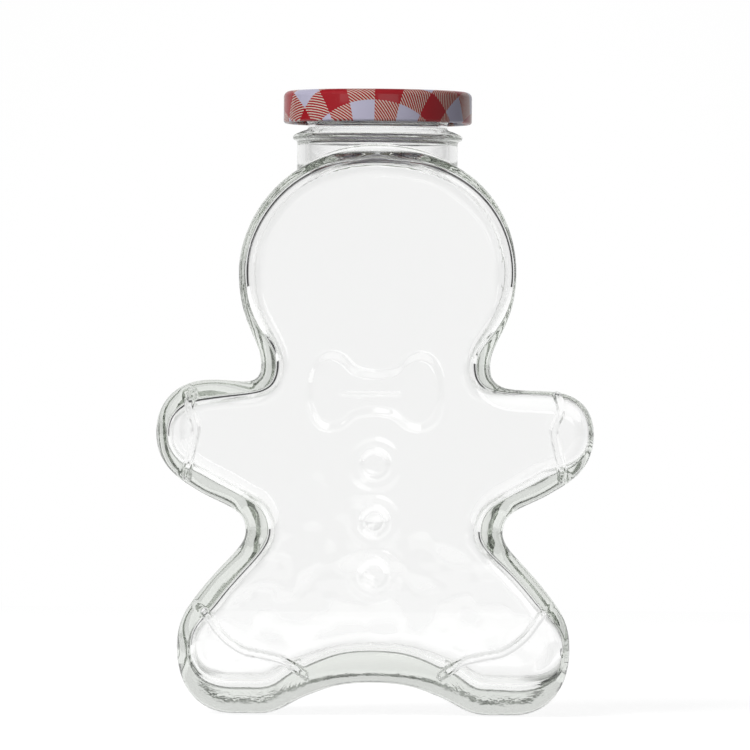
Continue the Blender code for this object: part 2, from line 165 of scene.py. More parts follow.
# The neck's finish
NECK_FOOT_Z = 0.1460
NECK_NEAR_Z = 0.1415
NECK_WIDENING = 0.0022
WIDENING_ABOVE_BEAD = 0.0030
WIDENING_SPAN = 0.0040
BEAD_STANDS_OUT = 0.0015
BEAD_Z = 0.1702
BEAD_HEIGHT = 0.0036
GROOVE_RADIUS = 0.0209
ROOT_RADIUS = 0.0223
THREAD_RADIUS = 0.0246
THREAD_THICKNESS = 0.0015
THREAD_SWEEP_DEG = 66.0
THREAD_RISE = 0.0018
THREAD_LOW_Z = 0.17755
THREAD_DEPTH = 0.0030
THREAD_ROUNDING = 0.0005
THREAD_LEAD_DEG = 12.0
THREADS_MIDDLE_Z = 0.1795
THREADS_REACH = 0.0040
GROOVE_TOP_Z = 0.1760
ROOT_FOOT_Z = 0.1772
LIP_Z = 0.18345

# How softly the glass forms run into each other
NECK_BLEND = 0.0012
BORE_BLEND = 0.0040
LIP_BLEND = 0.0012
THREAD_BLEND = 0.0006
FAR_AWAY = 0.02

# The lid's section
LID_TOP_Z = 0.1852
LID_SHEET = 0.0003
LID_CORNER = 0.0018
PANEL_RADIUS = 0.0192
PANEL_RECESS = 0.0006
STEP_WIDTH = 0.0009
CURL_RADIUS = 0.0008
LUG_INNER_RADIUS = 0.0234
LUG_THICKNESS = 0.0012
LUG_SWEEP_DEG = 18.0
LUG_ANGLES = (45.0, 135.0, 225.0, 315.0)
LUG_MIDDLE_ABOVE_BOTTOM = 0.00105

# The sealing ring's section
SEAL_LOW_Z = 0.18375
SEAL_HIGH_Z = 0.18475
SEAL_INNER_RADIUS = 0.0200
SEAL_OUTER_RADIUS = 0.0255
SEAL_ROUNDING = 0.0003

# How the gingham lies: the shift of its squares, the drawn sheet's stretch and a half-tone's ruled lines
GINGHAM_CORNER = (0.0005, -0.0316)
DRAW_STRETCH = 1.06
RULES_PER_CHECK = 7.5
RULE_SHARE = 0.40

# The glass's skin: where orange peel and stipple begin and end, in height, and their grain
BODY_PEEL = 0.04
PEEL_STARTS = (0.104, 0.116)
PEEL_ENDS = (0.166, 0.169)
STIPPLE_STARTS = (0.0140, 0.0125)
SKIN_GRAIN = 0.0013
SKIN_DEPTH = 0.00012

# The net that the glass is meshed on
NET_LOW = (-0.0668, -0.0312, -0.0016)
NET_HIGH = (0.0668, 0.0300, 0.1850)
FINE_X = ((-1, -0.047), (-0.004, 0.004), (0.047, 1))
FINE_Z = ((0.005, 0.034), (0.054, 0.060), (0.068, 0.100), (0.1645, 1))

# What camera, glass and metal all see round the jar: degrees from the backdrop's centre, and level
ROOM_LEVELS = (
    (0, 1.0),
    (3, 1.0),
    (10, 0.94),
    (25, 0.87),
    (51, 0.77),
    (55, 0.03),
    (82, 0.03),
    (87, 0.50),
    (180, 0.50),
)

# The even light that falls on matt surfaces, and the floor
PLAIN_LEVEL = 0.20
FLOOR_GLOW = 0.88
FLOOR_SHADE = 0.35
FLOOR_HALF_SIDE = 1.2
FLOOR_DROP = 0.0004

# Each lamp: name, turn and height in degrees, distance, width, height, level, and whether it is mirrored
LAMP_AIM_Z = 0.15
LAMPS = (
    ("softbox_left", -42, 35, 1.5, 1.0, 1.0, 6.0, False),
    ("window_left", -41.5, 9, 3.0, 0.58, 0.55, 2.6, True),
    ("window_front", 12.5, 9, 3.0, 1.30, 0.55, 2.2, True),
)

# The camera: its place beside and above the origin, how it looks up, and the figure's lean as a roll
CAMERA_X = -0.00009
CAMERA_Z = 0.0932
CAMERA_PITCH_DEG = 0.178
CAMERA_ROLL_DEG = -0.50
LIGHT_BOUNCES = 40

MATH = "ShaderNodeMath"
MAP_RANGE = "ShaderNodeMapRange"
MIX = "ShaderNodeMix"
PRINCIPLED = "ShaderNodeBsdfPrincipled"


def linear(hex_colour):
    """An sRGB colour, such as #99282F, as the linear red, green and blue that Blender works in."""
    channels = [int(hex_colour[i : i + 2], 16) / 255 for i in (1, 3, 5)]
    return tuple(c / 12.92 if c <= 0.04045 else ((c + 0.055) / 1.055) ** 2.4 for c in channels)


class JarGlassSettings(bpy.types.PropertyGroup):
    depth: FloatProperty(name="Depth", description="Front to back", default=0.056, unit="LENGTH")
    face_wall: FloatProperty(
        name="Face wall", description="Glass thickness of the flat faces", default=0.003, unit="LENGTH"
    )
    edge_radius: FloatProperty(
        name="Edge radius", description="Rounding of the front's outer edge", default=0.008, unit="LENGTH"
    )
    back_edge_radius: FloatProperty(
        name="Back edge radius", description="Rounding of the back's outer edge", default=0.004, unit="LENGTH"
    )
    hollow_radius: FloatProperty(
        name="Hollow radius", description="Rounding of the hollow's front edge", default=0.0021, unit="LENGTH"
    )
    hollow_back_radius: FloatProperty(
        name="Hollow back radius",
        description="Rounding of the hollow's back edge",
        default=0.004,
        unit="LENGTH",
    )
    neck_radius: FloatProperty(
        name="Neck radius", description="Outside of the neck", default=0.024, unit="LENGTH"
    )
    bore_radius: FloatProperty(
        name="Bore radius", description="Inside of the neck", default=0.019, unit="LENGTH"
    )
    bow_relief: FloatProperty(
        name="Bow relief", description="How far the bow tie stands out", default=0.0009, unit="LENGTH"
    )
    button_relief: FloatProperty(
        name="Button relief", description="How far a button stands out", default=0.0008, unit="LENGTH"
    )
    rib_relief: FloatProperty(
        name="Rib relief", description="How far an icing line stands out", default=0.0011, unit="LENGTH"
    )
    ripple: FloatProperty(
        name="Ripple", description="Waviness that blowing leaves inside", default=0.00008, unit="LENGTH"
    )
    peel: FloatProperty(
        name="Peel", description="Strength of the head's orange peel", default=0.1, min=0.0, max=1.0
    )
    stipple: FloatProperty(
        name="Stipple",
        description="Strength of the bearing surface's stipple",
        default=0.35,
        min=0.0,
        max=1.0,
    )
    grain: FloatProperty(
        name="Mesh size", description="Edge length of the finest faces", default=0.0005, unit="LENGTH"
    )
    absorption: FloatProperty(
        name="Absorption", description="How fast the glass tints light, per metre", default=20.0, min=0.0
    )
    tint: FloatVectorProperty(
        name="Tint",
        description="Colour that thick glass takes",
        subtype="COLOR",
        default=(0.74, 0.765, 0.725),
    )


class JarLidSettings(bpy.types.PropertyGroup):
    radius: FloatProperty(name="Radius", description="Outside of the skirt", default=0.0281, unit="LENGTH")
    height: FloatProperty(name="Height", description="Skirt and top", default=0.0096, unit="LENGTH")
    check: FloatProperty(
        name="Check", description="Side of one gingham square", default=0.00858, unit="LENGTH"
    )
    check_turn: FloatProperty(
        name="Check turn",
        description="Turn of the print on the lid",
        default=math.radians(-2.8),
        subtype="ANGLE",
    )
    sides: IntProperty(name="Sides", description="Facets round the lid", default=192, min=24)
    red: FloatVectorProperty(
        name="Red", description="Plain squares", subtype="COLOR", default=linear("#9C141F")
    )
    pale: FloatVectorProperty(
        name="Pale", description="White squares", subtype="COLOR", default=linear("#B9B6CB")
    )
    cream: FloatVectorProperty(
        name="Cream", description="Gaps between ruled lines", subtype="COLOR", default=linear("#C8BDB0")
    )


class JarStageSettings(bpy.types.PropertyGroup):
    distance: FloatProperty(
        name="Camera distance", description="From the jar's middle plane", default=2.4, unit="LENGTH"
    )
    lens: FloatProperty(name="Lens", description="Focal length in millimetres", default=385.7)


def add_node(tree, kind, inputs=None, **settings):
    """Add a node with its settings. An input is a value, a node whose first output is meant, or a socket."""
    node = tree.nodes.new(kind)
    for name, value in settings.items():
        setattr(node, name, value)
    for key, value in (inputs or {}).items():
        if isinstance(value, bpy.types.Node):
            value = value.outputs[0]
        if isinstance(value, bpy.types.NodeSocket):
            tree.links.new(value, node.inputs[key])
        else:
            node.inputs[key].default_value = value
    return node


def new_material(name):
    material = bpy.data.materials.new(name)
    material.use_nodes = True
    material.node_tree.nodes.clear()
    return material


def heading(degrees):
    """The unit step in the direction of a heading."""
    angle = math.radians(degrees)
    return np.array((math.cos(angle), math.sin(angle)))


def figure_nodes(shoulder_z, shoulder_heading, walls, head_half_width, crown_reach):
    """One side of the outline, crown to crotch: place, heading, reach in and out, and glass wall."""
    nodes = [
        ((0.0, HEAD_TOP_Z), 0, 0, crown_reach),
        ((head_half_width, HEAD_WIDEST_Z), -90, 0.0140, 0.0161),
        ((THROAT_HALF_WIDTH, THROAT_Z), -90, 0.0079, 0.0082),
        ((SHOULDER_HALF_WIDTH, shoulder_z), shoulder_heading, 0.0100, 0.0088),
        ((HAND_HALF_WIDTH, HAND_Z), -90, 0.0074, 0.0106),
        ((FOREARM_HALF_WIDTH, FOREARM_Z), -149, 0.0058, 0.0082),
        ((WAIST_HALF_WIDTH, WAIST_Z), -90, 0.0067, 0.0050),
        ((SHIN_HALF_WIDTH, SHIN_Z), -52, 0.0122, 0.0074),
        ((FOOT_HALF_WIDTH, FOOT_WIDEST_Z), -90, 0.0080, 0.0125),
        ((SOLE_OUTER_X, 0.0), 180, 0.0096, 0.0020),
        ((SOLE_INNER_X, 0.0), 180, 0.0020, 0.0062),
        ((INSTEP_X, INSTEP_Z), 159, 0.0070, 0.0050),
        ((0.0, CROTCH_Z), 180, 0.0102, 0),
    ]
    return [(*node, wall) for node, wall in zip(nodes, walls)]


def moved_in(nodes):
    """The nodes of the hollow: each node moved in by its wall, with its reaches kept in proportion."""
    places = []
    for (x, z), turn, _, _, wall in nodes:
        along = heading(turn)
        places.append(np.array((x, z)) + wall * np.array((along[1], -along[0])))
    spans = [math.dist(a[0], b[0]) for a, b in zip(nodes, nodes[1:])]
    inner = [math.dist(a, b) for a, b in zip(places, places[1:])]
    ratios = [1.0] + [b / a for a, b in zip(spans, inner)] + [1.0]
    return [
        (tuple(place), turn, reach_in * ratios[i], reach_out * ratios[i + 1], wall)
        for i, (place, (_, turn, reach_in, reach_out, wall)) in enumerate(zip(places, nodes))
    ]


def side_points(nodes, per_span=240):
    """Points along one side, on a cubic curve between each two nodes."""
    t = (np.arange(per_span) / per_span)[:, None]
    rows = []
    for (p0, turn0, _, reach0, _), (p1, turn1, reach1, _, _) in zip(nodes, nodes[1:]):
        start, end = np.array(p0), np.array(p1)
        pulls = start + reach0 * heading(turn0), end - reach1 * heading(turn1)
        early = (1 - t) ** 3 * start + 3 * (1 - t) ** 2 * t * pulls[0]
        rows.append(early + 3 * (1 - t) * t**2 * pulls[1] + t**3 * end)
    return np.vstack(rows + [np.array([nodes[-1][0]])])


def closed_loop(right, left):
    """Both sides of an outline joined into one loop."""
    mirrored = side_points(left)[1:-1] * (-1, 1)
    return np.vstack((side_points(right), mirrored[::-1]))


def even(loop, step):
    """A closed loop resampled at even steps."""
    ring = np.vstack((loop, loop[:1]))
    length = np.concatenate(([0], np.cumsum(np.linalg.norm(np.diff(ring, axis=0), axis=1))))
    at = np.linspace(0, length[-1], max(8, int(length[-1] / step)), endpoint=False)
    return np.column_stack([np.interp(at, length, ring[:, k]) for k in (0, 1)])


def softened(loop, step, spread):
    """A closed loop with its corners rounded: resampled, then blurred along its length."""
    points = even(loop, step)
    reach = int(3 * spread / step)
    weights = np.exp(-0.5 * (np.arange(-reach, reach + 1) * step / spread) ** 2)
    weights /= weights.sum()
    return sum(w * np.roll(points, k, axis=0) for w, k in zip(weights, range(-reach, reach + 1)))


class Map:
    """A quantity kept on a square grid over two directions and read back with a smooth cubic kernel."""

    def __init__(self, low, high, step):
        self.low, self.step = np.array(low, float), step
        self.shape = [int(math.ceil((b - a) / step)) + 1 for a, b in zip(low, high)]
        u = self.low[0] + step * np.arange(self.shape[0])
        v = self.low[1] + step * np.arange(self.shape[1])
        self.u, self.v = np.meshgrid(u, v, indexing="ij")
        self.values = np.zeros(self.shape)

    def at(self, u, v):
        u, v = np.broadcast_arrays(u, v)
        places, weights = [], []
        for k, w in enumerate((u, v)):
            place = np.clip((w - self.low[k]) / self.step, 1, self.shape[k] - 2.001)
            cell = np.floor(place).astype(int)
            t = place - cell
            places.append(cell)
            weights.append(
                (
                    0.5 * (-t + 2 * t**2 - t**3),
                    0.5 * (2 - 5 * t**2 + 3 * t**3),
                    0.5 * (t + 4 * t**2 - 3 * t**3),
                    0.5 * (-(t**2) + t**3),
                )
            )
        total = np.zeros(u.shape)
        for a in range(4):
            for b in range(4):
                share = weights[0][a] * weights[1][b]
                total += share * self.values[places[0] + a - 1, places[1] + b - 1]
        return total


def distance_map(loop, low, high, step, closed=True):
    """Distance to a loop, negative inside it, or distance to an open path."""
    made = Map(low, high, step)
    ahead, back = np.roll(loop, -1, axis=0), np.roll(loop, 1, axis=0)
    if not closed:
        ahead[-1], back[0] = loop[-1], loop[0]
    along = ahead - back
    along /= np.linalg.norm(along, axis=1)[:, None]
    turned = float(np.sum(loop[:, 0] * ahead[:, 1] - loop[:, 1] * ahead[:, 0]))
    outward = np.column_stack((along[:, 1], -along[:, 0])) * (1 if turned > 0 else -1)
    tree = kdtree.KDTree(len(loop))
    for i, (u, v) in enumerate(loop):
        tree.insert((u, v, 0), i)
    tree.balance()
    points = np.column_stack((made.u.ravel(), made.v.ravel()))
    nearest = np.array([tree.find((u, v, 0))[1] for u, v in points.tolist()])
    away = points - loop[nearest]
    gap = np.median(np.linalg.norm(ahead - loop, axis=1)) / 2
    slide = np.clip(np.sum(away * along[nearest], axis=1), -gap, gap)
    away -= slide[:, None] * along[nearest]
    distance = np.linalg.norm(away, axis=1)
    if closed:
        distance *= np.where(np.sum(away * outward[nearest], axis=1) > 0, 1, -1)
    made.values = distance.reshape(made.shape)
    return made


def smooth_min(a, b, blend):
    """The lesser of two distances, with the seam between them filleted."""
    near = np.clip(1 - np.abs(a - b) / blend, 0, None)
    return np.minimum(a, b) - near * near * blend / 4


def smooth_max(a, b, blend):
    """The greater of two distances, with the seam between them rounded."""
    return -smooth_min(-a, -b, blend)


def smooth_step(x):
    x = np.clip(x, 0, 1)
    return x * x * (3 - 2 * x)


def rounded_slab(outline, y, half, radius):
    """Distance to an outline given depth, with rounded edges."""
    across, deep = outline + radius, np.abs(y) - half + radius
    outside = np.hypot(np.maximum(across, 0), np.maximum(deep, 0))
    return np.minimum(np.maximum(across, deep), 0) + outside - radius


def smooth_path(points, per_span=40):
    """A Catmull-Rom curve through the points."""
    p = np.array(points)
    p = np.vstack((2 * p[0] - p[1], p, 2 * p[-1] - p[-2]))
    rows = []
    t = (np.arange(per_span) / per_span)[:, None]
    for a, b, c, d in zip(p, p[1:], p[2:], p[3:]):
        square = 2 * a - 5 * b + 4 * c - d
        cube = 3 * b - a - 3 * c + d
        rows.append(0.5 * (2 * b + (c - a) * t + square * t**2 + cube * t**3))
    return np.vstack(rows + [p[-2:-1]])


def bow_loop():
    """The bow tie's outline: two wings and a knot."""
    w, h, k = BOW_HALF_WIDTH, BOW_HALF_HEIGHT, BOW_KNOT_HALF_HEIGHT
    right = [
        ((0.0, BOW_Z + k), 0, 0, 0.08 * w, 0),
        ((0.33 * w, BOW_Z + 1.25 * k), 38, 0.08 * w, 0.15 * w, 0),
        ((0.68 * w, BOW_Z + h), 0, 0.18 * w, 0.20 * w, 0),
        ((w, BOW_Z), -90, 0.58 * h, 0.55 * h, 0),
        ((0.68 * w, BOW_Z - 0.93 * h), 180, 0.20 * w, 0.18 * w, 0),
        ((0.33 * w, BOW_Z - 1.25 * k), 142, 0.15 * w, 0.08 * w, 0),
        ((0.0, BOW_Z - k), 180, 0.08 * w, 0, 0),
    ]
    return closed_loop(right, right)


def arc(centre, radius, start_deg, end_deg, steps):
    """Points along an arc."""
    turn = [math.radians(start_deg + (end_deg - start_deg) * i / steps) for i in range(steps + 1)]
    return [(centre[0] + radius * math.cos(a), centre[1] + radius * math.sin(a)) for a in turn]


def neck_loop(radius):
    """The neck's outer profile, mirrored about the axis: foot, bead, groove, thread root and lip."""
    foot, bead, bead_radius = NECK_FOOT_Z, BEAD_Z, radius + BEAD_STANDS_OUT
    side = [
        (0.0, foot),
        (radius, foot),
        (radius, bead),
        (bead_radius - 0.0003, bead + 0.15 * BEAD_HEIGHT),
        (bead_radius, bead + 0.35 * BEAD_HEIGHT),
        (bead_radius - 0.0006, bead + 0.62 * BEAD_HEIGHT),
        (bead_radius - 0.0030, bead + 0.88 * BEAD_HEIGHT),
        (GROOVE_RADIUS, bead + BEAD_HEIGHT),
        (GROOVE_RADIUS, GROOVE_TOP_Z),
        (ROOT_RADIUS, ROOT_FOOT_Z),
        (ROOT_RADIUS, LIP_Z),
        (0.0, LIP_Z),
    ]
    return np.array(side + [(-r, z) for r, z in side[-2:0:-1]])


class GlassForm:
    """The jar's glass as a distance: negative in the glass, zero on its skin and positive in the air."""

    def __init__(self, settings):
        self.s = settings
        right = figure_nodes(
            SHOULDER_Z, RIGHT_SHOULDER_DEG, RIGHT_WALLS, HEAD_HALF_WIDTH, RIGHT_CROWN_REACH
        )
        left = figure_nodes(
            SHOULDER_Z + LEFT_SHOULDER_RISE,
            LEFT_SHOULDER_DEG,
            LEFT_WALLS,
            HEAD_HALF_WIDTH - LEFT_HEAD_NARROWING,
            LEFT_CROWN_REACH,
        )
        low, high, step = (-0.0675, -0.0030), (0.0675, 0.1880), 0.0006
        self.outer = distance_map(even(closed_loop(right, left), 0.0001), low, high, step)
        hollow = closed_loop(moved_in(right), moved_in(left))
        self.hollow = distance_map(even(hollow, 0.0001), low, high, step)
        profile = softened(neck_loop(settings.neck_radius), 0.00005, 0.0003)
        self.neck = distance_map(profile, (-0.0320, 0.1400), (0.0320, 0.1880), 0.0003)
        self.relief = self.relief_map(low, high, 0.0003)
        self.waves = self.wave_map(low, high)

    def relief_map(self, low, high, step):
        """Height of the bow tie, buttons and icing lines above the front face."""
        made = Map(low, high, step)
        bow = distance_map(even(bow_loop(), 0.0001), (-0.024, 0.080), (0.024, 0.110), step)
        inside = smooth_step(0.5 - bow.at(made.u, made.v) / BOW_SLOPE)
        near = (np.abs(made.u) < 0.0225) & (np.abs(made.v - BOW_Z) < 0.0140)
        made.values = np.where(near, self.s.bow_relief * inside, 0.0)
        along = (RIDGE_HALF_LENGTH - np.abs(made.u - RIDGE_PLACE[0])) / RIDGE_FADE
        across = 1 - np.abs(made.v - RIDGE_PLACE[1]) / RIDGE_HALF_WIDTH
        made.values += RIDGE_HEIGHT * smooth_step(along) * smooth_step(across)
        for z in BUTTON_ZS:
            away = np.hypot(made.u, made.v - z)
            made.values += self.s.button_relief * smooth_step((1 - away / BUTTON_RADIUS) / BUTTON_SLOPE)
            ring = smooth_step((1 - away / (RING_SPREAD * BUTTON_RADIUS)) / RING_SLOPE)
            made.values += RING_SHARE * self.s.button_relief * ring
        away = np.hypot(made.u, made.v - BUTTON_ZS[1]) / NUB_RADIUS
        made.values += NUB_HEIGHT * np.clip(1 - away**2, 0, None) ** NUB_POWER
        for side in (-1, 1):
            cuff = [(side * (HAND_HALF_WIDTH - a), HAND_Z + b) for a, b in CUFF_STEPS]
            ankle = [(side * (FOOT_HALF_WIDTH - a), FOOT_WIDEST_Z + b) for a, b in ANKLE_STEPS]
            for points in (cuff, ankle):
                path = smooth_path(points)
                box = path.min(axis=0) - RIB_MARGIN, path.max(axis=0) + RIB_MARGIN
                line = distance_map(path, box[0], box[1], step, closed=False)
                within = np.all([(m > a) & (m < b) for m, a, b in zip((made.u, made.v), *box)], axis=0)
                away = np.where(within, line.at(made.u, made.v), RIB_MARGIN) / RIB_HALF_WIDTH
                made.values += self.s.rib_relief * smooth_step((1 - away) / RIB_SLOPE)
        return made

    def wave_map(self, low, high):
        """Unevenness of the blown inside, between -1 and 1, stronger low down."""
        made = Map(low, high, RIPPLE_WIDTH)
        chance = np.random.default_rng(RIPPLE_SEED)
        made.values = chance.uniform(-1, 1, made.shape)
        for _ in range(2):
            v = made.values
            made.values = (v + np.roll(v, 1, 0) + np.roll(v, 1, 1) + np.roll(v, (1, 1), (0, 1))) / 2.6
        made.values *= 1.0 - RIPPLE_LOSS * smooth_step((made.v - RIPPLE_LOSS_Z) / RIPPLE_LOSS_SPAN)
        return made

    def plan(self, x, z):
        """Everything about a point that its place in the front view decides."""
        return self.outer.at(x, z), self.hollow.at(x, z), self.relief.at(x, z), self.waves.at(x, z)

    def threads(self, x, y, z):
        """Four lugs' threads, each a bar that climbs round the neck."""
        radius, turn = np.hypot(x, y), np.degrees(np.arctan2(y, x))
        half_sweep = THREAD_SWEEP_DEG / 2
        bar = np.full(radius.shape, 1.0)
        for lug in LUG_ANGLES:
            middle = lug - THREAD_LEAD_DEG + half_sweep
            along = (turn - middle + 180) % 360 - 180
            height = THREAD_LOW_Z + THREAD_THICKNESS / 2 + THREAD_RISE * (0.5 + along / THREAD_SWEEP_DEG)
            reach = np.radians(np.abs(along) - half_sweep) * THREAD_RADIUS
            half_depth = THREAD_DEPTH / 2
            out = np.abs(radius - THREAD_RADIUS + half_depth) - half_depth + THREAD_ROUNDING
            up = np.abs(z - height) - THREAD_THICKNESS / 2 + THREAD_ROUNDING
            end = reach + THREAD_ROUNDING
            parts = [np.maximum(v, 0) for v in (out, up, end)]
            solid = np.sqrt(sum(v * v for v in parts)) - THREAD_ROUNDING
            bar = np.minimum(bar, solid + np.minimum(np.maximum(np.maximum(out, up), end), 0))
        return bar

    def distance(self, x, y, z, plan):
        """Distance to the glass's skin at points whose place in the front view gives the plan."""
        outline, hollow_outline, raised, waves = plan
        s = self.s
        lift = raised * smooth_step((-y - FACE_REACH) / FACE_SPAN)
        sharper = HEAD_SHARPENING * smooth_step((z - SHARPENING_Z) / SHARPENING_SPAN)
        low_down = smooth_step((FULLNESS_Z - z) / FULLNESS_SPAN)
        front_edge = s.edge_radius - sharper + BASE_FULLNESS * low_down
        edge = np.where(y < 0, front_edge, s.back_edge_radius - BACK_BASE_SHARPENING * low_down)
        body = rounded_slab(outline, y, s.depth / 2, edge) - lift
        hollow_half = s.depth / 2 - s.face_wall
        fuller = HEAD_ROUNDING * smooth_step((z - HEAD_ROUNDING_Z) / HEAD_ROUNDING_SPAN)
        fuller = fuller + BASE_ROUNDING * smooth_step((BASE_TOP_Z - z) / BASE_TOP_Z * BASE_ROUNDING_RATE)
        round_off = np.where(y < 0, s.hollow_radius, s.hollow_back_radius) + fuller
        inside = rounded_slab(hollow_outline, y, hollow_half, round_off) - RELIEF_INSIDE_SHARE * lift
        inside = inside + s.ripple * waves * smooth_step((np.abs(y) - FACE_REACH) / FACE_SPAN)
        radius = np.hypot(x, y)
        near = np.broadcast_to(z > NECK_NEAR_Z, radius.shape)
        neck = np.full(radius.shape, FAR_AWAY)
        bore = np.full(radius.shape, FAR_AWAY)
        if near.any():
            r, h = radius[near], np.broadcast_to(z, radius.shape)[near]
            neck[near] = self.neck.at(r, h)
            below = (BEAD_Z + WIDENING_ABOVE_BEAD - h) / WIDENING_SPAN
            widened = s.bore_radius + NECK_WIDENING * smooth_step(below)
            bore[near] = np.maximum(r - widened, NECK_FOOT_Z - h)
            wound = near & np.broadcast_to(np.abs(z - THREADS_MIDDLE_Z) < THREADS_REACH, radius.shape)
            if wound.any():
                full = [np.broadcast_to(v, radius.shape)[wound] for v in (x, y, z)]
                neck[wound] = smooth_min(neck[wound], self.threads(*full), THREAD_BLEND)
        outer = smooth_min(body, neck, NECK_BLEND)
        inner = smooth_min(inside, bore, BORE_BLEND)
        return smooth_max(outer, -inner, LIP_BLEND)


def net_lines(low, high, coarse, fine, fine_spans):
    """Grid lines from low to high, closer together in the given spans."""
    lines, place = [low], low
    while place < high:
        middle = place + fine / 2
        close = any(a <= middle <= b for a, b in fine_spans)
        place += fine if close else coarse
        lines.append(place)
    return np.array(lines)


def net_over(form, xs, ys, zs):
    """Points and quads of the skin where the distance is zero: one point in each cell that it passes."""
    x, z = np.meshgrid(xs, zs, indexing="ij")
    plan = form.plan(x, z)
    values = np.stack([form.distance(x, np.full(x.shape, y), z, plan) for y in ys], axis=1)
    solid = values < 0
    sizes = [n - 1 for n in values.shape]
    corner = [
        [slice(a, a + sizes[0]), slice(b, b + sizes[1]), slice(c, c + sizes[2])]
        for a in (0, 1)
        for b in (0, 1)
        for c in (0, 1)
    ]
    filled = sum(solid[tuple(c)].astype(np.int8) for c in corner)
    crossed = (filled > 0) & (filled < 8)
    index = np.full(sizes, -1)
    index[crossed] = np.arange(int(crossed.sum()))
    cells = np.argwhere(crossed)
    lines = (xs, ys, zs)
    total = np.zeros((len(cells), 3))
    hits = np.zeros(len(cells))
    for axis in range(3):
        others = [k for k in range(3) if k != axis]
        for a in (0, 1):
            for b in (0, 1):
                start = cells.copy()
                start[:, others[0]] += a
                start[:, others[1]] += b
                end = start.copy()
                end[:, axis] += 1
                v0 = values[tuple(start.T)]
                v1 = values[tuple(end.T)]
                cut = (v0 < 0) != (v1 < 0)
                share = np.where(cut, v0 / np.where(cut, v0 - v1, 1), 0)
                place = np.column_stack([lines[k][start[:, k]] for k in range(3)])
                place[:, axis] += share * (lines[axis][end[:, axis]] - lines[axis][start[:, axis]])
                total += np.where(cut[:, None], place, 0)
                hits += cut
    points = total / hits[:, None]
    quads = []
    for axis in range(3):
        first, second = (axis + 1) % 3, (axis + 2) % 3
        here = [slice(1, -1)] * 3
        here[axis] = slice(0, -1)
        there = list(here)
        there[axis] = slice(1, None)
        inner = [slice(1, n - 1) for n in values.shape]
        inner[axis] = slice(0, values.shape[axis] - 1)
        a = solid[tuple(inner)]
        inner[axis] = slice(1, values.shape[axis])
        b = solid[tuple(inner)]
        starts = np.argwhere(a != b)
        leaving = a[tuple(starts.T)]
        starts += [0 if k == axis else 1 for k in range(3)]
        ring = []
        for da, db in ((1, 1), (0, 1), (0, 0), (1, 0)):
            cell = starts.copy()
            cell[:, first] -= da
            cell[:, second] -= db
            ring.append(index[tuple(cell.T)])
        ring = np.column_stack(ring)
        quads.append(np.where(leaving[:, None], ring, ring[:, ::-1]))
    return points, np.vstack(quads)


def slope(form, points, reach=0.00008):
    """Distance and its slope at each point."""
    value = form.distance(*points.T, form.plan(points[:, 0], points[:, 2]))
    rows = []
    for axis in range(3):
        step = np.zeros(3)
        step[axis] = reach
        sides = [form.distance(*p.T, form.plan(p[:, 0], p[:, 2])) for p in (points + step, points - step)]
        rows.append((sides[0] - sides[1]) / (2 * reach))
    return value, np.column_stack(rows)


def mesh_from(name, points, faces, normals, material):
    """An object shaded by the form's own slope at each point, not by its facets."""
    mesh = bpy.data.meshes.new(name)
    mesh.from_pydata(points.tolist(), [], faces.tolist())
    mesh.shade_smooth()
    mesh.normals_split_custom_set_from_vertices(normals.tolist())
    mesh.materials.append(material)
    made = bpy.data.objects.new(name, mesh)
    bpy.context.collection.objects.link(made)
    return made


